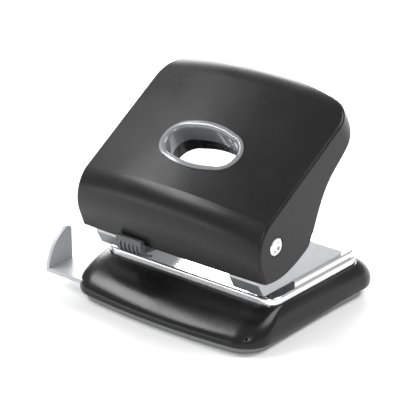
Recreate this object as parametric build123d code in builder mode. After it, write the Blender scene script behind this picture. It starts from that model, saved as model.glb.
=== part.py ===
from build123d import *
import math
import os

os.makedirs("parts", exist_ok=True)

# A two-hole office punch. X runs to the right, Y to the back, Z up, in millimetres.
# The origin is on the table under the middle of the punch; X = 0 is its plane of symmetry.

# Paper and holes
hole_spacing = 80.0
slot_height = 3.1
edge_distance = 12.0
paper_stop_y = -11.7
punch_x = hole_spacing / 2
punch_y = paper_stop_y - edge_distance
hole_radius = 2.75

# Levels, from the table up
tray_floor = 1.6
tray_gap = 0.35
shell_rim_z = 17.6
die_z = 21.3
deck_z = die_z + slot_height
sheet = 1.6

# Lever geometry: the axle, the cam nose behind it and the swing of the handle
axle_y = -32.2
axle_z = 50.5
axle_radius = 2.4
running_gap = 0.05
cam_arm = punch_y - axle_y
half_swing = 15.9
cam_radius = 3.0
hub_radius = 5.2
cam_play = 0.08
cam_y = axle_y + cam_arm * math.cos(math.radians(half_swing))
cam_z = axle_z + cam_arm * math.sin(math.radians(half_swing))

# Base plate
plate_half = 51.0
plate_front = -30.0
plate_back = 39.0
plate_corner = 8.0
plate_bottom = 16.8
plate_edge_round = 1.0
plate_ledge = 1.1

# Punch heads
head_outer = 48.6
head_inner = 31.4
head_floor = 2.0
head_back = 26.0
flange_foot_y = -33.3
flange_knee_y = -37.0
flange_knee_z = 31.0
bridge_z = 42.5
bridge_back = -20.0

# Handle, measured at its flat sides and at the finger hole
handle_half = 54.6
handle_wall = 2.4
slope = 31.5
crown_radius = 235.0
finger_y = -18.3
finger_z = 80.6
finger_length = 45.2
finger_width = 26.4

slope_cos = math.cos(math.radians(slope))
slope_sin = math.sin(math.radians(slope))
slope_dir = Vector(0, slope_cos, slope_sin)
slope_up = Vector(0, -slope_sin, slope_cos)
finger_centre = Vector(0, finger_y, finger_z)
slope_top = Plane(origin=finger_centre, x_dir=(1, 0, 0), z_dir=slope_up)
crown_axis = Axis(finger_centre - slope_up * crown_radius, slope_dir)
crown_half_arc = 18.0


def turned(outline, x, y):
    """Solid turned from a half section about the upright axis through x, y."""
    with BuildPart() as body:
        with BuildSketch(Plane((x, y, 0), x_dir=(1, 0, 0), z_dir=(0, -1, 0))):
            with BuildLine():
                Polyline(*outline, close=True)
            make_face()
        revolve(axis=Axis((x, y, 0), (0, 0, 1)))
    return body.part


def finish_piece(piece, label):
    """Name a piece and write its file."""
    piece.part.label = label
    export_step(piece.part, f"parts/{label}.step")


def soft_outline(front_half, waist_half, back_half, front_y, back_y, bulge, corner):
    """Plan outline of the foot: a bowed front, waisted sides and round corners."""
    middle_y = (front_y + back_y) / 2
    front_left, front_right = (-front_half, front_y + bulge), (front_half, front_y + bulge)
    back_right, back_left = (back_half, back_y), (-back_half, back_y)
    with BuildSketch() as outline:
        with BuildLine():
            ThreePointArc(front_left, (0, front_y), front_right)
            ThreePointArc(front_right, (waist_half, middle_y), back_right)
            Line(back_right, back_left)
            ThreePointArc(back_left, (-waist_half, middle_y), front_left)
        make_face()
        fillet(outline.vertices(), corner)
    return outline.sketch


def lofted(levels):
    """Smooth solid through soft outlines, each given as (height, outline values)."""
    with BuildPart() as body:
        for height, values in levels:
            with BuildSketch(Plane.XY.offset(height)):
                add(soft_outline(*values))
        loft()
    return body.part


def round_box(half_width, front_y, back_y, corner, bottom, top, edge_round=0.0):
    """Upright block with round corners, and its top edge rounded if asked."""
    with BuildPart() as block:
        with BuildSketch(Plane.XY.offset(bottom)):
            with Locations((0, (front_y + back_y) / 2)):
                RectangleRounded(2 * half_width, back_y - front_y, corner)
        extrude(amount=top - bottom)
        if edge_round:
            fillet(block.faces().sort_by(Axis.Z)[-1].edges(), edge_round)
    return block.part


parting = [(-70.0, 4.0), (-36.0, 3.2), (-8.0, 2.3), (17.0, 4.1), (42.0, 4.7), (70.0, 4.6)]


def cut_at_parting(body, drop, keep_above):
    """Cut a body along the waved line where the shell meets the chip tray."""
    far_y, far_z = 70.0, 40.0
    wave = [(y, z - drop) for y, z in parting]
    limit = -far_z if keep_above else far_z
    with BuildPart() as cut:
        add(body)
        with BuildSketch(Plane.YZ):
            with BuildLine():
                Spline(wave)
                Polyline(wave[-1], (far_y, limit), (-far_y, limit), wave[0])
            make_face()
        extrude(amount=80, both=True, mode=Mode.SUBTRACT)
    return cut.part


# ------------------------------------------------------------------ base shell
guide_front = -46.8
guide_back = -30.0
guide_bottom = 6.5
guide_top = 8.5
slide_gap = 0.3
post_x = 43.0
post_places = [(side * post_x, y) for side in (-1, 1) for y in (-5.0, 27.0)]
post_radius = 4.5
post_bottom = 12.6
screw_radius = 1.4
screw_bite = 1.0
hinge_knuckle_x = 27.0
knuckle_length = 6.0
tray_hinge_y = 47.6
tray_hinge_z = 4.2
knuckle_radius = 1.2
rail_places = (-47.0, 0.0, 24.0)
rail_width = 2.0
rail_bottom = 4.6

shell_outside = lofted([
    (1.6, (54.6, 53.1, 53.9, -51.6, 49.4, 4.0, 13.0)),
    (6.0, (56.0, 54.4, 55.6, -53.0, 50.6, 4.2, 14.0)),
    (12.0, (55.2, 53.8, 54.8, -46.5, 47.8, 2.6, 12.5)),
    (shell_rim_z, (51.9, 51.8, 51.9, -31.2, 39.9, 0.4, 9.0)),
])
shell_inside = lofted([
    (0.8, (51.3, 49.8, 50.6, -48.2, 46.2, 4.0, 10.5)),
    (6.0, (53.5, 51.9, 53.1, -50.4, 48.1, 4.2, 11.5)),
    (10.6, (52.6, 51.2, 52.2, -44.8, 45.8, 2.6, 10.0)),
    (15.0, (48.6, 48.4, 48.6, -30.4, 37.6, 0.4, 7.0)),
])

with BuildPart() as rails:
    # hangers under the apron that carry the paper guide
    with BuildSketch(Plane.XY.offset(rail_bottom)):
        for rail_x in rail_places:
            with Locations((rail_x, (guide_front + guide_back) / 2)):
                Rectangle(rail_width, guide_back - guide_front + 4.0)
    extrude(amount=plate_bottom - rail_bottom)
    add(shell_outside, mode=Mode.INTERSECT)

with BuildPart() as base_shell:
    add(cut_at_parting(shell_outside, 0.0, keep_above=True))
    add(shell_inside, mode=Mode.SUBTRACT)
    add(round_box(plate_half + 0.1, plate_front - 0.1, plate_back + 0.1, plate_corner,
                  plate_bottom, shell_rim_z + 2), mode=Mode.SUBTRACT)
    add(round_box(45.5, -24.5, 34.0, 5.0, 12.0, shell_rim_z), mode=Mode.SUBTRACT)
    add(rails.part)
    with BuildSketch(Plane.XY.offset(post_bottom)):
        with Locations(*post_places):
            Circle(post_radius)
    extrude(amount=deck_z - sheet - post_bottom)
    with BuildSketch(Plane.XY.offset(post_bottom)):
        with Locations(*post_places):
            Circle(screw_radius)
    extrude(amount=deck_z, mode=Mode.SUBTRACT)
    # slot in the left flank, and the channel through the hangers
    with BuildSketch(Plane.XY.offset(guide_bottom - slide_gap)):
        with Locations((-5.0, (guide_front + guide_back) / 2)):
            Rectangle(110.0, guide_back - guide_front + 2 * slide_gap)
    extrude(amount=guide_top - guide_bottom + 2 * slide_gap, mode=Mode.SUBTRACT)
    # sockets for the tray's two hinge knuckles
    for side in (-1, 1):
        with BuildSketch(Plane.YZ.offset(side * hinge_knuckle_x)):
            with Locations((tray_hinge_y, tray_hinge_z)):
                Circle(knuckle_radius + slide_gap)
        extrude(amount=knuckle_length / 2 + slide_gap, both=True, mode=Mode.SUBTRACT)
finish_piece(base_shell, "base_shell")

# -------------------------------------------------------------------- chip tray
tray_outside = lofted([
    (0.0, (53.0, 51.2, 52.2, -50.2, 46.8, 4.0, 13.0)),
    (6.0, (54.6, 52.8, 53.8, -51.6, 47.5, 4.0, 13.0)),
])
tray_wall_top = 9.0

with BuildPart() as chip_tray:
    add(cut_at_parting(tray_outside, tray_gap, keep_above=False))
    # low wall that keeps the chips in and locates the tray inside the shell
    with BuildSketch(Plane.XY.offset(tray_floor)) as wall:
        add(soft_outline(49.4, 47.6, 48.6, -46.5, 44.6, 4.0, 10.0))
        with Locations((0, -40)):
            Rectangle(120, 36, mode=Mode.SUBTRACT)
    extrude(amount=tray_wall_top - tray_floor)
    with BuildSketch(Plane.XY.offset(tray_floor)):
        add(soft_outline(47.8, 46.0, 47.0, -44.9, 43.0, 4.0, 8.6))
    extrude(amount=20, mode=Mode.SUBTRACT)
    for side in (-1, 1):
        with BuildSketch(Plane.YZ.offset(side * hinge_knuckle_x)):
            with Locations((tray_hinge_y, tray_hinge_z - 0.15)):
                Circle(knuckle_radius)
        extrude(amount=knuckle_length / 2, both=True)
finish_piece(chip_tray, "chip_tray")

# ------------------------------------------------------------------- base plate
die_outer = 4.8
head_rivet_radius = 1.6
head_rivets_at = [(side * punch_x, y) for side in (-1, 1) for y in (4.0, 19.0)]


def plate_form(inset, bottom):
    """Low die deck with the raised paper deck behind it, shrunk by the inset all round."""
    half, corner = plate_half - inset, plate_corner - inset
    front, back = plate_front + inset, plate_back - inset
    with BuildPart() as form:
        add(round_box(half - plate_ledge, front, back - plate_ledge, corner - plate_ledge,
                      bottom, deck_z - inset, plate_edge_round))
        with BuildSketch(Plane.XY.offset(bottom)):
            with Locations((0, paper_stop_y + inset - 50)):
                Rectangle(120, 100)
        extrude(amount=60, mode=Mode.SUBTRACT)
        add(round_box(half, front, back, corner, bottom, die_z - inset, plate_edge_round))
    return form.part


with BuildPart() as base_plate:
    add(plate_form(0.0, plate_bottom))
    add(plate_form(sheet, plate_bottom - 1), mode=Mode.SUBTRACT)
    with BuildSketch(Plane.XY.offset(plate_bottom)):
        with Locations((-punch_x, punch_y), (punch_x, punch_y)):
            Circle(die_outer)
        with Locations(*head_rivets_at):
            Circle(head_rivet_radius)
    extrude(amount=20, mode=Mode.SUBTRACT)
    with BuildSketch(Plane.XY.offset(deck_z - sheet)):
        with Locations(*post_places):
            Circle(screw_radius)
    extrude(amount=screw_bite, mode=Mode.SUBTRACT)
finish_piece(base_plate, "base_plate")

screw_head_radius = 2.7
cross_slot = (3.2, 0.7)
with BuildPart() as plate_screws:
    # pan-head screws driven up through the shell's posts
    head_z = post_bottom - 1.8
    with BuildSketch(Plane.XY.offset(head_z)):
        with Locations(*post_places):
            Circle(screw_head_radius)
    extrude(amount=post_bottom - head_z)
    with BuildSketch(Plane.XY.offset(head_z)):
        with Locations(*post_places):
            Circle(screw_radius)
    extrude(amount=deck_z - sheet + screw_bite - head_z)
    with BuildSketch(Plane.XY.offset(head_z)):
        with Locations(*post_places):
            Rectangle(*cross_slot)
            Rectangle(*cross_slot[::-1])
    extrude(amount=0.9, mode=Mode.SUBTRACT)
finish_piece(plate_screws, "plate_screws")

# ----------------------------------------------------------- dies, one per side
for side, name in ((-1, "left"), (1, "right")):
    with BuildPart() as die:
        with BuildSketch(Plane.XY.offset(die_z - 3.4)):
            with Locations((side * punch_x, punch_y)):
                Circle(die_outer)
                Circle(hole_radius + running_gap, mode=Mode.SUBTRACT)
        extrude(amount=3.4)
    finish_piece(die, f"{name}_die")

# ------------------------------------------------------------------ punch heads
lug_radius = 6.5
wall_slope = math.radians(-28.5)
bush_outer = 4.4
bush_neck = 3.6
bush_top = deck_z + 4.0
neck_radius = 2.0
tooth_inner, tooth_outer = 6.0, 10.2
tooth_angles = (-168.0, -158.0)


def around_axle(radius, degrees):
    """Point in the side view at a radius and an angle from the axle."""
    turn = math.radians(degrees)
    return (axle_y + radius * math.cos(turn), axle_z + radius * math.sin(turn))


def arc_points(radius, start, end):
    """Start, middle and end of an arc about the axle."""
    return [around_axle(radius, turn) for turn in (start, (start + end) / 2, end)]


lug_top = around_axle(lug_radius, 90 + math.degrees(wall_slope))
wall_top_back = lug_top[1] + (head_back - lug_top[0]) * math.tan(wall_slope)
lug_front = around_axle(lug_radius, 180)

with BuildSketch(Plane.YZ) as head_side:
    with BuildLine():
        Polyline((flange_foot_y, deck_z), (flange_knee_y, flange_knee_z),
                 (flange_knee_y, 38.0), lug_front)
        ThreePointArc(lug_front, around_axle(lug_radius, 120), lug_top)
        Polyline(lug_top, (head_back, wall_top_back), (head_back, deck_z),
                 (flange_foot_y, deck_z))
    make_face()
    back_corners = head_side.vertices().group_by(Axis.X)[-1]
    fillet(back_corners.sort_by(Axis.Y)[-1], 1.2)

for side, name in ((-1, "left"), (1, "right")):
    middle = side * (head_outer + head_inner) / 2
    inner_wall = side * (head_inner + sheet / 2)
    wall_middle = (head_outer - head_inner - sheet) / 2
    with BuildPart() as head:
        # two side walls
        for wall_x in (middle - wall_middle, middle + wall_middle):
            extrude(head_side.sketch.moved(Location((wall_x, 0, 0))), amount=sheet / 2,
                    both=True)
        # one folded strip between them: floor, leaning flange, upright and bridge
        with BuildSketch(Plane.YZ.offset(middle)):
            with BuildLine():
                Polyline((flange_foot_y, deck_z), (flange_knee_y, flange_knee_z),
                         (flange_knee_y, bridge_z + sheet), (bridge_back, bridge_z + sheet),
                         (bridge_back, bridge_z), (flange_knee_y + sheet, bridge_z),
                         (flange_knee_y + sheet, flange_knee_z + 0.4),
                         (flange_foot_y + sheet + 0.6, deck_z + head_floor),
                         (head_back, deck_z + head_floor), (head_back, deck_z),
                         (flange_foot_y, deck_z))
            make_face()
        extrude(amount=wall_middle, both=True)
        with BuildSketch(Plane.YZ.offset(middle)):
            with Locations((axle_y, axle_z)):
                Circle(axle_radius)
        extrude(amount=20, both=True, mode=Mode.SUBTRACT)
        with BuildSketch(Plane.XY.offset(deck_z)):
            with Locations((side * punch_x, punch_y)):
                Circle(bush_neck)
            with Locations(*[place for place in head_rivets_at if place[0] * side > 0]):
                Circle(head_rivet_radius)
        extrude(amount=head_floor, mode=Mode.SUBTRACT)
        with BuildSketch(Plane.XY.offset(bridge_z)):
            with Locations((side * punch_x, punch_y)):
                Circle(neck_radius + running_gap)
        extrude(amount=sheet, mode=Mode.SUBTRACT)
        if side < 0:
            # tooth on the inner wall that the handle lock hooks behind
            with BuildSketch(Plane.YZ.offset(inner_wall)):
                with BuildLine():
                    outer_arc = arc_points(tooth_outer, *tooth_angles)
                    inner_arc = arc_points(tooth_inner, *tooth_angles)
                    ThreePointArc(*outer_arc)
                    Line(outer_arc[-1], inner_arc[-1])
                    ThreePointArc(*inner_arc[::-1])
                    Line(inner_arc[0], outer_arc[0])
                make_face()
            extrude(amount=sheet / 2, both=True)
    finish_piece(head, f"{name}_head")

    with BuildPart() as bush:
        # flanged guide pressed into the head's floor
        bore = hole_radius + running_gap
        floor_top = deck_z + head_floor
        add(turned([(bore, deck_z), (bush_neck, deck_z), (bush_neck, floor_top),
                    (bush_outer, floor_top), (bush_outer, floor_top + 1.0),
                    (bush_neck, bush_top), (bore, bush_top)], side * punch_x, punch_y))
    finish_piece(bush, f"{name}_pin_guide")

rivet_tail = deck_z - sheet
with BuildPart() as head_rivets:
    # semi-round rivets that hold the heads down on the plate
    for x, y in head_rivets_at:
        add(turned([(0, floor_top + 1.2), (1.6, floor_top + 1.0), (2.5, floor_top + 0.4),
                    (2.7, floor_top), (head_rivet_radius, floor_top),
                    (head_rivet_radius, rivet_tail), (2.5, rivet_tail),
                    (2.5, rivet_tail - 1.0), (0, rivet_tail - 1.0)], x, y))
finish_piece(head_rivets, "head_rivets")

# ------------------------------------------------------------------- hinge axle
axle_head_radius = 4.3
axle_head_x = 53.9
axle_end = 54.9
with BuildPart() as hinge_axle:
    # spun heads with a dimple, one sunk into each side of the handle
    with BuildSketch(Plane((0, axle_y, axle_z), x_dir=(1, 0, 0), z_dir=(0, -1, 0))):
        with BuildLine():
            Polyline((0, 0), (0, axle_radius), (axle_head_x, axle_radius),
                     (axle_head_x, axle_head_radius), (axle_end - 0.3, axle_head_radius),
                     (axle_end, axle_head_radius - 0.5), (axle_end, 2.6),
                     (axle_end - 0.7, 2.0), (axle_end - 0.7, 0), (0, 0))
        make_face()
    revolve(axis=Axis((0, axle_y, axle_z), (1, 0, 0)))
    mirror(about=Plane.YZ)
finish_piece(hinge_axle, "hinge_axle")

# ----------------------------------------------- punch pins, springs and clips
tip_z = deck_z + 0.3
shoulder_z = bridge_z - 0.3
pin_top = cam_z - cam_radius - cam_play
groove_z = 38.4
groove_height = 0.8
groove_radius = 2.25
clip_outer = 4.7
spring_wire = 0.45
spring_radius = 3.85
spring_turns = 6.0
spring_bottom = bush_top

for side, name in ((-1, "left"), (1, "right")):
    pin_plane = Plane((side * punch_x, punch_y, 0), x_dir=(1, 0, 0), z_dir=(0, -1, 0))
    pin_axis = Axis((side * punch_x, punch_y, 0), (0, 0, 1))
    with BuildPart() as pin:
        # hollow-ground cutting tip, clip groove and slimmer neck
        with BuildSketch(pin_plane):
            with BuildLine():
                Polyline((0, tip_z + 1.3), (hole_radius - 0.2, tip_z), (hole_radius, tip_z),
                         (hole_radius, groove_z), (groove_radius, groove_z),
                         (groove_radius, groove_z + groove_height),
                         (hole_radius, groove_z + groove_height), (hole_radius, shoulder_z),
                         (neck_radius, shoulder_z), (neck_radius, pin_top - 0.5),
                         (neck_radius - 0.5, pin_top), (0, pin_top), (0, tip_z + 1.3))
            make_face()
        revolve(axis=pin_axis)
    finish_piece(pin, f"{name}_punch_pin")

    with BuildPart() as clip:
        with BuildSketch(Plane.XY.offset(groove_z)):
            with Locations((side * punch_x, punch_y)):
                Circle(clip_outer)
                Circle(groove_radius, mode=Mode.SUBTRACT)
            with Locations((side * punch_x, punch_y + 3.4)):
                Rectangle(3.2, 4.0, mode=Mode.SUBTRACT)
        extrude(amount=groove_height)
    finish_piece(clip, f"{name}_clip")

    spring_height = groove_z - spring_bottom - 2 * spring_wire
    with BuildPart() as spring:
        with BuildLine(Plane((side * punch_x, punch_y, spring_bottom + spring_wire))):
            coil = Helix(pitch=spring_height / spring_turns, height=spring_height,
                         radius=spring_radius)
        with BuildSketch(Plane(origin=coil @ 0, z_dir=coil % 0)):
            Circle(spring_wire)
        sweep(path=coil, is_frenet=True)
    finish_piece(spring, f"{name}_spring")

# ----------------------------------------------------------------------- handle
end_bulge_s = 53.0
end_side_s = 46.0
end_corner = 15.0
profile_depth = 75.0
rim_round = 1.6
underside = [(25.9, 92.9), (24.0, 87.6), (18.4, 80.4), (7.6, 70.8), (0.0, 59.2),
             (-3.9, 50.3), (-8.2, 42.0)]
underside_foot = [(-8.2, 42.0), (-19.0, 36.5), (-30.0, 33.7), (-38.0, 34.0), (-44.0, 35.0)]
well_depth = 17.4
well_outer = (45.0, 26.2)
sleeve_outer = (41.8, 23.0)
sleeve_inner = (38.6, 19.8)
sleeve_depth = 9.0
rim_seat = 1.0
rim_top = 1.4
lip_round = 1.9
cross_s = 24.0
cross_depth = 7.2
screw_depth = 2.8
cross_sheet = 2.0
boss_places = [(-33.0, cross_s), (-14.0, cross_s + 2), (14.0, cross_s + 2), (33.0, cross_s)]
boss_radius = 3.2
arm_x = punch_x
arm_sheet = 3.0


def on_slope(offset):
    """The slope's plane, moved up by the offset."""
    return Plane(origin=finger_centre + slope_up * offset, x_dir=(1, 0, 0), z_dir=slope_up)


def oval(size):
    """Finger-hole outline: an ellipse with full ends, in the slope's own plane."""
    half, rise = size[0] / 2, size[1] / 2
    with BuildSketch() as shape:
        with BuildLine():
            upper = ThreePointArc((-half * 0.6, rise * 0.82), (0, rise), (half * 0.6, rise * 0.82))
            lower = ThreePointArc((half * 0.6, -rise * 0.82), (0, -rise),
                                  (-half * 0.6, -rise * 0.82))
            ThreePointArc(upper @ 1, (half, 0), lower @ 0)
            ThreePointArc(lower @ 1, (-half, 0), upper @ 0)
        make_face()
        fillet(shape.vertices(), rise * 0.5)
    return shape.sketch


def swung_plane(degrees):
    """The side view's plane, swung about the crown axis."""
    turn = math.radians(degrees)
    up = slope_up * math.cos(turn) + Vector(1, 0, 0) * math.sin(turn)
    return Plane(origin=crown_axis.position + up * crown_radius, x_dir=slope_dir,
                 z_dir=slope_dir.cross(up))


def crowned(outline):
    """Solid swept by a side outline, given in the slope's plane, about the crown axis."""
    with BuildPart() as body:
        with BuildSketch(swung_plane(-crown_half_arc)):
            add(outline)
        revolve(axis=crown_axis, revolution_arc=2 * crown_half_arc)
    return body.part


def handle_form(inset, rounded):
    """Crowned body of the handle, shrunk by the inset; the outer one has its rim rounded."""
    start, knee = (-26.0, 1.0 - inset), (-41.4 + inset, -14.0)
    tail, lip = (58.0 - inset, -12.0), (40.0, 0.6 - inset)
    with BuildSketch() as profile:
        with BuildLine():
            ThreePointArc(start, (-36.4 + 0.7 * inset, -4.2 - 0.7 * inset), knee)
            Polyline(knee, (-52.6 + inset, -profile_depth), (tail[0], -profile_depth), tail)
            ThreePointArc(tail, (51.5 - 0.6 * inset, -3.0 - 0.8 * inset), lip)
            Line(lip, start)
        make_face()
    half, side_s = handle_half - inset, end_side_s - inset
    with BuildPart() as form:
        add(crowned(profile.sketch))
        with BuildSketch(slope_top) as plan:
            with BuildLine():
                Polyline((-half, side_s), (-half, -90), (half, -90), (half, side_s))
                ThreePointArc((half, side_s), (0, end_bulge_s - inset), (-half, side_s))
            make_face()
            fillet(plan.vertices().group_by(Axis.Y)[-1], end_corner - inset)
        extrude(amount=120, both=True, mode=Mode.INTERSECT)
        if rounded:
            rim = [edge for edge in form.edges() if on_rim(edge)]
            fillet(rim, rim_round)
            with BuildSketch(Plane.YZ):
                with BuildLine():
                    reach = (underside[0][0] + 60 * slope_cos, underside[0][1] + 60 * slope_sin)
                    Line(reach, underside[0])
                    Spline(underside)
                    Spline(underside_foot)
                    Polyline(underside_foot[-1], (-80, 36), (-80, 160), reach)
                make_face()
            extrude(amount=80, both=True, mode=Mode.INTERSECT)
    return form.part


def on_rim(edge):
    """True for an edge where the crowned skin meets the flat sides or the rounded end."""
    place = slope_top.to_local_coords(edge @ 0.5)
    straight = edge.geom_type in (GeomType.LINE, GeomType.CIRCLE)
    return place.Z > -60.0 and not straight


handle_outer = handle_form(0.0, rounded=True)
handle_inner = handle_form(handle_wall, rounded=False)

with BuildPart() as handle_fittings:
    # well around the finger hole, screw bosses and the hubs that turn on the axle
    with BuildSketch(on_slope(-well_depth)):
        add(oval(well_outer))
    extrude(amount=well_depth + 6)
    with BuildSketch(on_slope(-cross_depth)):
        with Locations(*boss_places):
            Circle(boss_radius)
    extrude(amount=cross_depth + 3)
    for side in (-1, 1):
        with BuildSketch(Plane.YZ.offset(side * (handle_half - 4.6))):
            with Locations((axle_y, axle_z)):
                Circle(7.0)
        extrude(amount=side * 4.4)
    add(handle_outer, mode=Mode.INTERSECT)

with BuildPart() as handle_shell:
    add(handle_outer)
    add(handle_inner, mode=Mode.SUBTRACT)
    add(handle_fittings.part)
    with BuildSketch(on_slope(-well_depth - 20)):
        add(oval(sleeve_outer))
    extrude(amount=well_depth + 40, mode=Mode.SUBTRACT)
    with BuildSketch(on_slope(-rim_seat - 1.0)):
        add(oval((finger_length + 0.2, finger_width + 0.2)))
        add(oval(sleeve_outer), mode=Mode.SUBTRACT)
    extrude(amount=20, mode=Mode.SUBTRACT)
    with BuildSketch(on_slope(-cross_depth)):
        with Locations(*boss_places):
            Circle(screw_radius)
    extrude(amount=screw_depth + 0.2, mode=Mode.SUBTRACT)
    with BuildSketch(Plane.YZ):
        with Locations((axle_y, axle_z)):
            Circle(axle_radius + running_gap)
    extrude(amount=60, both=True, mode=Mode.SUBTRACT)
    for side in (-1, 1):
        with BuildSketch(Plane.YZ.offset(side * (axle_head_x - 0.3))):
            with Locations((axle_y, axle_z)):
                Circle(axle_head_radius + 0.5)
        extrude(amount=side * 3.0, mode=Mode.SUBTRACT)
finish_piece(handle_shell, "handle_shell")

with BuildPart() as handle_grommet:
    # moulded insert: a rim that follows the crown and a sleeve down the well
    with BuildSketch() as rim_band:
        with BuildLine():
            Polyline((-20, -rim_seat), (20, -rim_seat), (20, rim_top), (-20, rim_top),
                     (-20, -rim_seat))
        make_face()
    add(crowned(rim_band.sketch))
    with BuildSketch(on_slope(-20)):
        add(oval((finger_length, finger_width)))
    extrude(amount=40, mode=Mode.INTERSECT)
    with BuildSketch(on_slope(-sleeve_depth)):
        add(oval((sleeve_outer[0] - 0.1, sleeve_outer[1] - 0.1)))
    extrude(amount=sleeve_depth - 0.6)
    with BuildSketch(on_slope(-20)):
        add(oval(sleeve_inner))
    extrude(amount=40, mode=Mode.SUBTRACT)
    rim_faces = handle_grommet.faces().filter_by(GeomType.PLANE, reverse=True)
    rim_face = max(rim_faces, key=lambda face: slope_top.to_local_coords(face.center()).Z)
    fillet(rim_face.inner_wires()[0].edges(), lip_round)
finish_piece(handle_grommet, "handle_grommet")

# ------------------------------------------- steel lever frame inside the handle
arm_end = finger_centre + slope_dir * cross_s - slope_up * (cross_depth + 1.0)
arm_length = math.hypot(arm_end.Y - axle_y, arm_end.Z - axle_z)
arm_turn = math.degrees(math.atan2(arm_end.Z - axle_z, arm_end.Y - axle_y))


def beside_arm(along, across):
    """Point in the side view, measured from the axle along and across the lever arm."""
    turn = math.radians(arm_turn)
    return (axle_y + along * math.cos(turn) - across * math.sin(turn),
            axle_z + along * math.sin(turn) + across * math.cos(turn))


web = 1.5
web_drop = math.radians(half_swing - 90)
web_low = (web * math.cos(web_drop), web * math.sin(web_drop))
axle_low = (axle_y + web_low[0], axle_z + web_low[1])
cam_low = (cam_y + web_low[0], cam_z + web_low[1])

with BuildPart() as lever_frame:
    for side in (-1, 1):
        with BuildSketch(Plane.YZ.offset(side * arm_x - arm_sheet / 2)):
            with Locations((axle_y, axle_z)):
                Circle(hub_radius)
            with Locations((cam_y, cam_z)):
                Circle(cam_radius)
            with BuildLine():
                Polyline(axle_low, cam_low, (cam_y, cam_z),
                         beside_arm(arm_length - 2.0, -5.5), beside_arm(arm_length - 1.0, 1.4),
                         beside_arm(0, hub_radius - 0.2), axle_low)
            make_face()
            with Locations((axle_y, axle_z)):
                Circle(axle_radius + running_gap, mode=Mode.SUBTRACT)
        extrude(amount=arm_sheet)
    with BuildSketch(on_slope(-cross_depth - cross_sheet)):
        with Locations((0, cross_s)):
            RectangleRounded(2 * arm_x + arm_sheet, 11.0, 2.0)
        with Locations(*boss_places):
            Circle(screw_radius + 0.1, mode=Mode.SUBTRACT)
    extrude(amount=cross_sheet)
finish_piece(lever_frame, "lever_frame")

with BuildPart() as handle_screws:
    # pan-head screws through the cross plate into the handle's bosses
    screw_head_height = 1.7
    screw_head_plane = on_slope(-cross_depth - cross_sheet - screw_head_height)
    with BuildSketch(screw_head_plane):
        with Locations(*boss_places):
            Circle(screw_head_radius)
    extrude(amount=screw_head_height)
    with BuildSketch(screw_head_plane):
        with Locations(*boss_places):
            Circle(screw_radius)
    extrude(amount=screw_head_height + cross_sheet + screw_depth)
    with BuildSketch(screw_head_plane):
        with Locations(*boss_places):
            Rectangle(*cross_slot)
            Rectangle(*cross_slot[::-1])
    extrude(amount=0.8, mode=Mode.SUBTRACT)
finish_piece(handle_screws, "handle_screws")

# ------------------------------------------------------------------ lock slider
lock_x = -21.7
lock_half = 7.6
slider_top = 37.6
thumb_front = [(-45.0, slider_top), (-45.4, 34.6), (-44.2, 31.0), (-41.0, 28.7), (-37.2, 27.4)]
thumb_back = [(-37.0, 28.3), (-40.2, 29.8), (-42.2, 32.2), (-41.8, 34.2), (-43.0, slider_top)]
rib_front = [(-45.9, 35.0), (-44.8, 30.7), (-41.3, 28.2)]
rib_count = 5
rib_pitch = 2.5
rib_half = 0.55
web_top = 33.6
web_bottom = 32.4
tongue_angles = (-147.0, -139.0)
tongue_inner, tongue_outer = 8.1, 11.5

with BuildPart() as lock_slider:
    # scooped thumb piece that hangs in front of the handle's edge and curls under it
    with BuildSketch(Plane.YZ.offset(lock_x)):
        with BuildLine():
            Line(thumb_front[0], thumb_front[1])
            ThreePointArc(thumb_front[1], thumb_front[2], thumb_front[3])
            Polyline(thumb_front[3], thumb_front[4], *thumb_back, thumb_front[0])
        make_face()
    extrude(amount=lock_half, both=True)
    # web under the edge, and the upright inside the front wall that carries the tongue
    with BuildSketch(Plane.YZ.offset(lock_x)):
        with BuildLine():
            Polyline((-42.6, web_bottom), (-37.3, web_bottom), (-37.3, 37.6), (-38.4, 41.6),
                     (-39.9, 43.1), (-40.5, 43.8), (-41.1, 43.3), (-39.5, 41.3),
                     (-38.05, 37.4), (-38.05, web_top), (-42.6, web_top),
                     (-42.6, web_bottom))
        make_face()
    extrude(amount=lock_half - 2.0, both=True)
    with BuildSketch(Plane.YZ.offset(lock_x - lock_half)):
        with BuildLine():
            outer_arc = arc_points(tongue_outer, *tongue_angles)
            inner_arc = arc_points(tongue_inner, *tongue_angles)
            ThreePointArc(*outer_arc)
            Line(outer_arc[-1], inner_arc[-1])
            ThreePointArc(*inner_arc[::-1])
            Line(inner_arc[0], outer_arc[0])
        make_face()
    extrude(amount=2 * lock_half - 2.0)
    # upright finger ribs
    with BuildSketch(Plane.YZ.offset(lock_x)) as rib_face:
        with BuildLine():
            ThreePointArc(*rib_front)
            Polyline(rib_front[-1], (-40.8, 29.4), (-43.6, 32.4), (-44.8, 35.6), rib_front[0])
        make_face()
    for index in range(rib_count):
        rib_x = (index - (rib_count - 1) / 2) * rib_pitch
        extrude(rib_face.sketch.moved(Location((rib_x, 0, 0))), amount=rib_half, both=True)
finish_piece(lock_slider, "lock_slider")

# ------------------------------------------------------------------ paper guide
fin_x = -72.6
fin_thick = 1.8
guide_inner_end = 38.0
fin_top = 26.0
format_marks = (-60.0, -44.0, -20.0, 6.0)
notch_radius = 1.2

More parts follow.
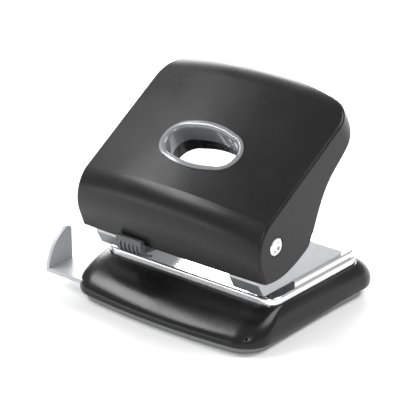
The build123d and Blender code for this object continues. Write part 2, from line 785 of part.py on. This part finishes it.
with BuildPart() as paper_guide:
    with BuildSketch(Plane.XY.offset(guide_bottom)):
        guide_middle = (guide_front + guide_back) / 2
        with Locations(((fin_x + guide_inner_end) / 2, guide_middle)):
            RectangleRounded(guide_inner_end - fin_x, guide_back - guide_front, 1.0)
        with Locations(*[(x + 22.0, guide_back) for x in format_marks]):
            Circle(notch_radius, mode=Mode.SUBTRACT)
    extrude(amount=guide_top - guide_bottom)
    # upright fin that the sheet's edge rests against
    with BuildSketch(Plane.YZ.offset(fin_x)):
        with BuildLine():
            Line((guide_front, guide_bottom), (guide_front, guide_top))
            ThreePointArc((guide_front, guide_top), (-41.6, 20.0), (-34.0, fin_top - 0.4))
            ThreePointArc((-34.0, fin_top - 0.4), (-31.0, fin_top - 0.8), (-30.2, fin_top - 3.6))
            Polyline((-30.2, fin_top - 3.6), (guide_back, guide_bottom),
                     (guide_front, guide_bottom))
        make_face()
    extrude(amount=fin_thick)
finish_piece(paper_guide, "paper_guide")

with BuildPart() as guide_spring:
    # flat spring clipped to the middle hanger; its bend drops into the guide's notches
    click_y = guide_back + 0.9
    with BuildSketch(Plane.XY.offset(guide_bottom)):
        with BuildLine():
            Polyline((2.0, click_y), (9.0, click_y), (10.5, click_y - 0.45),
                     (12.0, click_y), (18.0, click_y), (18.0, click_y + 0.4),
                     (11.9, click_y + 0.4), (10.5, click_y - 0.05), (9.1, click_y + 0.4),
                     (2.0, click_y + 0.4), (2.0, click_y))
        make_face()
    extrude(amount=guide_top - guide_bottom)
finish_piece(guide_spring, "guide_spring")
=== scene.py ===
import math

import bpy
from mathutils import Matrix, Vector

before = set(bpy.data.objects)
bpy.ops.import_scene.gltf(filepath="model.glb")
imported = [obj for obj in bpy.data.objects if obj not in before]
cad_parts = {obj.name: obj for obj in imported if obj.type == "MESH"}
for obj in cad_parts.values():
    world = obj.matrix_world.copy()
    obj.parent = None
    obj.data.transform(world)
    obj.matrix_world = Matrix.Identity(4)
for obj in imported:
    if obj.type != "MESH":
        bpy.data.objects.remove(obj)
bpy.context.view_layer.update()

# ---------------------------------------------------------------------------
# Base shell: the foot that the whole punch stands in.
# Injection-moulded black ABS with a satin face, one piece, open below and above;
# the base plate drops into the rebate round its top opening.
# ---------------------------------------------------------------------------


def new_effect(name, inputs, outputs):
    """Shader node group with the named number inputs and outputs, and its two end nodes."""
    effect = bpy.data.node_groups.new(name, "ShaderNodeTree")
    for label, value in inputs:
        socket = effect.interface.new_socket(label, in_out="INPUT", socket_type="NodeSocketFloat")
        socket.default_value = value
    for label in outputs:
        effect.interface.new_socket(label, in_out="OUTPUT", socket_type="NodeSocketFloat")
    return effect, effect.nodes.new("NodeGroupInput"), effect.nodes.new("NodeGroupOutput")


def moulding_grain():
    """Fine spark grain of a moulded face, and the faint unevenness of a cooled wall."""
    effect, given, result = new_effect(
        "moulding_grain", [("Grain Size", 1.0), ("Sink Size", 1.0)], ["Height", "Cloud"])
    nodes, link = effect.nodes, effect.links.new
    place = nodes.new("ShaderNodeTexCoord")
    speckle = nodes.new("ShaderNodeTexNoise")
    speckle.inputs["Detail"].default_value = 3.0
    speckle.inputs["Roughness"].default_value = 0.6
    pits = nodes.new("ShaderNodeTexVoronoi")
    mix = nodes.new("ShaderNodeMath")
    mix.operation = "MULTIPLY_ADD"
    mix.inputs[1].default_value = 0.35
    cloud = nodes.new("ShaderNodeTexNoise")
    cloud.inputs["Detail"].default_value = 2.0
    link(place.outputs["Object"], speckle.inputs["Vector"])
    link(place.outputs["Object"], pits.inputs["Vector"])
    link(place.outputs["Object"], cloud.inputs["Vector"])
    link(given.outputs["Grain Size"], speckle.inputs["Scale"])
    link(given.outputs["Grain Size"], pits.inputs["Scale"])
    link(given.outputs["Sink Size"], cloud.inputs["Scale"])
    link(pits.outputs["Distance"], mix.inputs[0])
    link(speckle.outputs["Fac"], mix.inputs[2])
    link(mix.outputs[0], result.inputs["Height"])
    link(cloud.outputs["Fac"], result.inputs["Cloud"])
    return effect


def handling_marks():
    """Where hands and dust have dulled a face: soft smears and small flecks."""
    effect, given, result = new_effect(
        "handling_marks", [("Smear Size", 30.0), ("Fleck Size", 900.0)], ["Smear", "Fleck"])
    nodes, link = effect.nodes, effect.links.new
    place = nodes.new("ShaderNodeTexCoord")
    smear = nodes.new("ShaderNodeTexNoise")
    smear.inputs["Detail"].default_value = 5.0
    smear.inputs["Distortion"].default_value = 0.6
    shape = nodes.new("ShaderNodeMapRange")
    shape.inputs["From Min"].default_value = 0.42
    shape.inputs["From Max"].default_value = 0.68
    fleck = nodes.new("ShaderNodeTexNoise")
    fleck.inputs["Detail"].default_value = 1.0
    sparse = nodes.new("ShaderNodeMapRange")
    sparse.inputs["From Min"].default_value = 0.70
    sparse.inputs["From Max"].default_value = 0.78
    link(place.outputs["Object"], smear.inputs["Vector"])
    link(place.outputs["Object"], fleck.inputs["Vector"])
    link(given.outputs["Smear Size"], smear.inputs["Scale"])
    link(given.outputs["Fleck Size"], fleck.inputs["Scale"])
    link(smear.outputs["Fac"], shape.inputs["Value"])
    link(fleck.outputs["Fac"], sparse.inputs["Value"])
    link(shape.outputs["Result"], result.inputs["Smear"])
    link(sparse.outputs["Result"], result.inputs["Fleck"])
    return effect


grain_effect = moulding_grain()
marks_effect = handling_marks()


def placed(nodes, effect, **values):
    """An effect in a material, with its own values."""
    group = nodes.new("ShaderNodeGroup")
    group.node_tree = effect
    for label, value in values.items():
        group.inputs[label.replace("_", " ")].default_value = value
    return group


def colour_between(nodes, link, mask, low, high):
    """Colour that runs between two shades by a mask."""
    mix = nodes.new("ShaderNodeMix")
    mix.data_type = "RGBA"
    mix.inputs["A"].default_value = (*low, 1.0)
    mix.inputs["B"].default_value = (*high, 1.0)
    link(mask, mix.inputs["Factor"])
    return mix.outputs["Result"]


def number_between(nodes, link, mask, low, high):
    """Number that runs between two values by a mask."""
    spread = nodes.new("ShaderNodeMapRange")
    spread.inputs["To Min"].default_value = low
    spread.inputs["To Max"].default_value = high
    link(mask, spread.inputs["Value"])
    return spread.outputs["Result"]


def raised(nodes, link, height, depth, shader, before=None):
    """Relief of a real depth in metres on a shader's surface."""
    bump = nodes.new("ShaderNodeBump")
    bump.inputs["Strength"].default_value = 1.0
    bump.inputs["Distance"].default_value = depth
    link(height, bump.inputs["Height"])
    if before is not None:
        link(before, bump.inputs["Normal"])
    link(bump.outputs["Normal"], shader.inputs["Normal"])
    return bump.outputs["Normal"]


def moulded_plastic(name, dark, light, gloss, dull, grain_size, grain_depth, sheen=0.5,
                    coat=0.0):
    """Moulded plastic with its grain, its slight mottle and hand marks."""
    finish = bpy.data.materials.new(name)
    finish.use_nodes = True
    nodes, link = finish.node_tree.nodes, finish.node_tree.links.new
    shader = nodes["Principled BSDF"]
    shader.inputs["IOR"].default_value = 1.5
    shader.inputs["Specular IOR Level"].default_value = sheen
    shader.inputs["Coat Weight"].default_value = coat
    shader.inputs["Coat Roughness"].default_value = 0.12
    grain = placed(nodes, grain_effect, Grain_Size=grain_size, Sink_Size=22.0)
    marks = placed(nodes, marks_effect, Smear_Size=34.0, Fleck_Size=1400.0)
    body = colour_between(nodes, link, grain.outputs["Cloud"], dark, light)
    dusty = nodes.new("ShaderNodeMix")
    dusty.data_type = "RGBA"
    dust_gain, dust_lift, dust_cover = 2.4, 0.02, 0.35
    dust = [min(1.0, dust_gain * channel + dust_lift) for channel in light]
    dusty.inputs["B"].default_value = (*dust, 1.0)
    fleck = number_between(nodes, link, marks.outputs["Fleck"], 0.0, dust_cover)
    link(fleck, dusty.inputs["Factor"])
    link(body, dusty.inputs["A"])
    link(dusty.outputs["Result"], shader.inputs["Base Color"])
    rough = number_between(nodes, link, marks.outputs["Smear"], gloss, dull)
    link(rough, shader.inputs["Roughness"])
    raised(nodes, link, grain.outputs["Height"], grain_depth, shader)
    return finish


def wear(node_names, finish):
    """Give CAD nodes a finish."""
    for name in node_names:
        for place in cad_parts[name].material_slots:
            place.material = finish


shell_plastic = moulded_plastic(
    "foot_black_plastic", dark=(0.006, 0.006, 0.0065), light=(0.009, 0.009, 0.0095), gloss=0.20,
    dull=0.28, grain_size=2600.0, grain_depth=0.000006, sheen=0.3)
wear(["base_shell"], shell_plastic)

# ---------------------------------------------------------------------------
# Chip tray: the sole of the punch and the tray that catches the chips.
# Soft grey thermoplastic rubber, moulded, hung on two knuckles at the back so
# that it swings down to be emptied.
# ---------------------------------------------------------------------------
tray_rubber = moulded_plastic(
    "sole_grey_rubber", dark=(0.20, 0.203, 0.207), light=(0.25, 0.253, 0.257), gloss=0.55,
    dull=0.68, grain_size=1500.0, grain_depth=0.000030)
wear(["chip_tray"], tray_rubber)

# ---------------------------------------------------------------------------
# Base plate: the bright deck that the paper lies on.
# One pressing of thin sheet steel, polished and nickel-plated, its rim turned
# down all round; the step between its two decks is the paper stop.
# ---------------------------------------------------------------------------


def rolled_streaks():
    """Long fine lines that rolling or brushing leaves in sheet, and a slow waviness."""
    effect, given, result = new_effect(
        "rolled_streaks", [("Across", 1500.0), ("Along", 60.0), ("Wave Size", 25.0)],
        ["Line", "Wave"])
    nodes, link = effect.nodes, effect.links.new
    place = nodes.new("ShaderNodeTexCoord")
    stretch = nodes.new("ShaderNodeCombineXYZ")
    stretched_place = nodes.new("ShaderNodeVectorMath")
    stretched_place.operation = "MULTIPLY"
    line = nodes.new("ShaderNodeTexNoise")
    line.inputs["Scale"].default_value = 1.0
    line.inputs["Detail"].default_value = 3.0
    wave = nodes.new("ShaderNodeTexNoise")
    wave.inputs["Detail"].default_value = 1.0
    link(given.outputs["Along"], stretch.inputs["X"])
    link(given.outputs["Across"], stretch.inputs["Y"])
    link(given.outputs["Across"], stretch.inputs["Z"])
    link(place.outputs["Object"], stretched_place.inputs[0])
    link(stretch.outputs["Vector"], stretched_place.inputs[1])
    link(stretched_place.outputs["Vector"], line.inputs["Vector"])
    link(place.outputs["Object"], wave.inputs["Vector"])
    link(given.outputs["Wave Size"], wave.inputs["Scale"])
    link(line.outputs["Fac"], result.inputs["Line"])
    link(wave.outputs["Fac"], result.inputs["Wave"])
    return effect


streaks_effect = rolled_streaks()


def bare_metal(name, dark, light, gloss, dull, across, along, line_depth, wave_depth=0.0):
    """Sheet or turned metal with its drawn lines, slow waves and handling marks."""
    finish = bpy.data.materials.new(name)
    finish.use_nodes = True
    nodes, link = finish.node_tree.nodes, finish.node_tree.links.new
    shader = nodes["Principled BSDF"]
    shader.inputs["Metallic"].default_value = 1.0
    streaks = placed(nodes, streaks_effect, Across=across, Along=along, Wave_Size=28.0)
    marks = placed(nodes, marks_effect, Smear_Size=45.0, Fleck_Size=1100.0)
    colour = colour_between(nodes, link, streaks.outputs["Line"], dark, light)
    link(colour, shader.inputs["Base Color"])
    rough = number_between(nodes, link, marks.outputs["Smear"], gloss, dull)
    link(rough, shader.inputs["Roughness"])
    first = None
    if wave_depth:
        first = raised(nodes, link, streaks.outputs["Wave"], wave_depth, shader)
    raised(nodes, link, streaks.outputs["Line"], line_depth, shader, first)
    return finish


plate_plating = bare_metal(
    "deck_bright_plating", dark=(0.80, 0.80, 0.81), light=(0.88, 0.88, 0.89), gloss=0.12,
    dull=0.20, across=1400.0, along=50.0, line_depth=0.0000012, wave_depth=0.000006)
wear(["base_plate"], plate_plating)

# ---------------------------------------------------------------------------
# Plate screws and handle screws: pan-head tapping screws with a cross slot, which hold
# the foot to the plate and the lever frame to the handle.
# Cold-headed steel, bright zinc plated.
# ---------------------------------------------------------------------------
screw_zinc = bare_metal(
    "screw_bright_zinc", dark=(0.55, 0.56, 0.60), light=(0.68, 0.69, 0.72), gloss=0.24,
    dull=0.36, across=2500.0, along=900.0, line_depth=0.000004)
wear(["plate_screws", "handle_screws"], screw_zinc)

# ---------------------------------------------------------------------------
# Dies, pins, clips and pin guides: the hard parts that cut and steer.
# Turned and hardened tool steel; the dies are pressed into the low deck, and the
# guides into the floors of the heads.
# ---------------------------------------------------------------------------
tool_steel = bare_metal(
    "ground_tool_steel", dark=(0.42, 0.42, 0.43), light=(0.60, 0.60, 0.61), gloss=0.14,
    dull=0.26, across=2200.0, along=2200.0, line_depth=0.000003)
wear(["left_die", "right_die", "left_punch_pin", "right_punch_pin",
      "left_clip", "right_clip", "left_pin_guide", "right_pin_guide"], tool_steel)

# ---------------------------------------------------------------------------
# Punch heads: the two folded brackets that carry the axle and the pins.
# Pressed from steel sheet, folded, with a fine matt zinc finish, and riveted
# down on the plate with semi-round rivets.
# ---------------------------------------------------------------------------
head_zinc = bare_metal(
    "head_matt_zinc", dark=(0.40, 0.41, 0.42), light=(0.56, 0.57, 0.58), gloss=0.40, dull=0.52,
    across=1900.0, along=700.0, line_depth=0.000008)
wear(["left_head", "right_head", "head_rivets", "lever_frame"], head_zinc)

# ---------------------------------------------------------------------------
# Springs: the two return springs round the pins, and the leaf that clicks in the
# paper guide's notches. Hard-drawn spring steel with a dull oiled face.
# ---------------------------------------------------------------------------
spring_steel = bare_metal(
    "oiled_spring_wire", dark=(0.20, 0.20, 0.20), light=(0.34, 0.34, 0.34), gloss=0.28,
    dull=0.40, across=3000.0, along=3000.0, line_depth=0.000004)
wear(["left_spring", "right_spring", "guide_spring"], spring_steel)

# ---------------------------------------------------------------------------
# Hinge axle: the rod that the handle turns on.
# Turned bright steel, its two ends spun over in the handle's sides.
# ---------------------------------------------------------------------------
axle_steel = bare_metal(
    "axle_bright_steel", dark=(0.62, 0.62, 0.63), light=(0.78, 0.78, 0.79), gloss=0.10,
    dull=0.20, across=2600.0, along=2600.0, line_depth=0.000003)
wear(["hinge_axle"], axle_steel)

# ---------------------------------------------------------------------------
# Handle shell: the crowned lever cover that the hand presses.
# Injection-moulded black ABS, thick-walled, with a fine satin grain.
# ---------------------------------------------------------------------------
handle_plastic = moulded_plastic(
    "handle_black_plastic", dark=(0.006, 0.006, 0.0065), light=(0.010, 0.010, 0.0105),
    gloss=0.27, dull=0.34, grain_size=2200.0, grain_depth=0.000009, sheen=0.3)
wear(["handle_shell"], handle_plastic)

# ---------------------------------------------------------------------------
# Finger-hole grommet: the grey insert that lines the hole through the handle.
# Moulded in glossy plastic and snapped into the well.
# ---------------------------------------------------------------------------
grommet_plastic = moulded_plastic(
    "grommet_grey_gloss", dark=(0.16, 0.163, 0.17), light=(0.19, 0.193, 0.20), gloss=0.10,
    dull=0.18, grain_size=2600.0, grain_depth=0.000003, coat=0.5)
wear(["handle_grommet"], grommet_plastic)

# ---------------------------------------------------------------------------
# Lock slider: the ribbed catch on the handle's front edge that holds the punch shut.
# Moulded in dark grey plastic; its web passes under the edge of the handle, and the
# tongue behind it hooks a tooth on the left head.
# ---------------------------------------------------------------------------
slider_plastic = moulded_plastic(
    "slider_dark_grey_plastic", dark=(0.06, 0.061, 0.063), light=(0.08, 0.081, 0.084),
    gloss=0.30, dull=0.40, grain_size=2600.0, grain_depth=0.000008)
wear(["lock_slider"], slider_plastic)

# ---------------------------------------------------------------------------
# Paper guide: the pull-out rule that sets the sheet for its format.
# Moulded in light grey plastic, a flat bar with an upright fin at its end.
# ---------------------------------------------------------------------------
guide_plastic = moulded_plastic(
    "guide_light_grey_plastic", dark=(0.42, 0.43, 0.445), light=(0.48, 0.49, 0.505), gloss=0.32,
    dull=0.42, grain_size=2400.0, grain_depth=0.000008)
wear(["paper_guide"], guide_plastic)

# ---------------------------------------------------------------------------
# Table, soft studio lights and the camera: not part of the punch.
# ---------------------------------------------------------------------------
bpy.ops.object.select_all(action="DESELECT")
table_size, table_drop = 6.0, 0.0002
bpy.ops.mesh.primitive_plane_add(size=table_size, location=(0, 0, -table_drop))
table = bpy.context.object
table.name = "table_top"
table_white = bpy.data.materials.new("table_white")
table_white.use_nodes = True
table_shader = table_white.node_tree.nodes["Principled BSDF"]
table_shader.inputs["Base Color"].default_value = (0.90, 0.90, 0.90, 1.0)
table_shader.inputs["Roughness"].default_value = 0.6
table.data.materials.append(table_white)

room = bpy.data.worlds.new("studio_room")
bpy.context.scene.world = room
room.use_nodes = True
room.node_tree.nodes["Background"].inputs["Color"].default_value = (1.0, 1.0, 1.0, 1.0)
room.node_tree.nodes["Background"].inputs["Strength"].default_value = 0.50


def softbox(name, place, aim, width, height, power):
    """Square soft light at a place, facing a point."""
    lamp = bpy.data.lights.new(name, "AREA")
    lamp.shape = "RECTANGLE"
    lamp.size = width
    lamp.size_y = height
    lamp.energy = power
    holder = bpy.data.objects.new(name, lamp)
    bpy.context.scene.collection.objects.link(holder)
    holder.location = place
    holder.rotation_mode = "QUATERNION"
    holder.rotation_quaternion = (Vector(aim) - Vector(place)).to_track_quat("-Z", "Y")


softbox("key_box", (0.70, 0.50, 1.30), (0, 0, 0.05), 0.8, 0.8, 14.0)
softbox("back_left_box", (-0.72, 0.88, 0.46), (0, 0, 0.06), 1.1, 0.50, 16.0)
softbox("upper_left_box", (-0.80, -0.42, 1.02), (0, 0, 0.06), 0.9, 0.34, 11.0)
softbox("low_left_panel", (-0.75, -1.00, 0.14), (0, 0, 0.06), 0.9, 0.16, 1.6)
softbox("front_box", (0.95, -1.20, 0.95), (0, 0, 0.0), 0.35, 0.6, 7.0)

bpy.context.scene.view_settings.view_transform = "Standard"

view_azimuth = math.radians(39.2)
view_elevation = math.radians(23.5)
view_distance = 1.174
view_left = 0.00845
view_up = 0.0033
sensor_width_mm = 36.0
focal_length_mm = 216.3
aim = Vector((0, 0, 0.040))
away = Vector((math.sin(view_azimuth) * math.cos(view_elevation),
               -math.cos(view_azimuth) * math.cos(view_elevation),
               math.sin(view_elevation)))
lens = bpy.data.cameras.new("studio_camera")
lens.sensor_width = sensor_width_mm
lens.lens = focal_length_mm
camera = bpy.data.objects.new("studio_camera", lens)
bpy.context.scene.collection.objects.link(camera)
camera.rotation_mode = "QUATERNION"
camera.rotation_quaternion = (-away).to_track_quat("-Z", "Y")
sideways = camera.rotation_quaternion @ Vector((1, 0, 0))
upwards = camera.rotation_quaternion @ Vector((0, 1, 0))
camera.location = aim + away * view_distance - sideways * view_left + upwards * view_up
bpy.context.scene.camera = camera
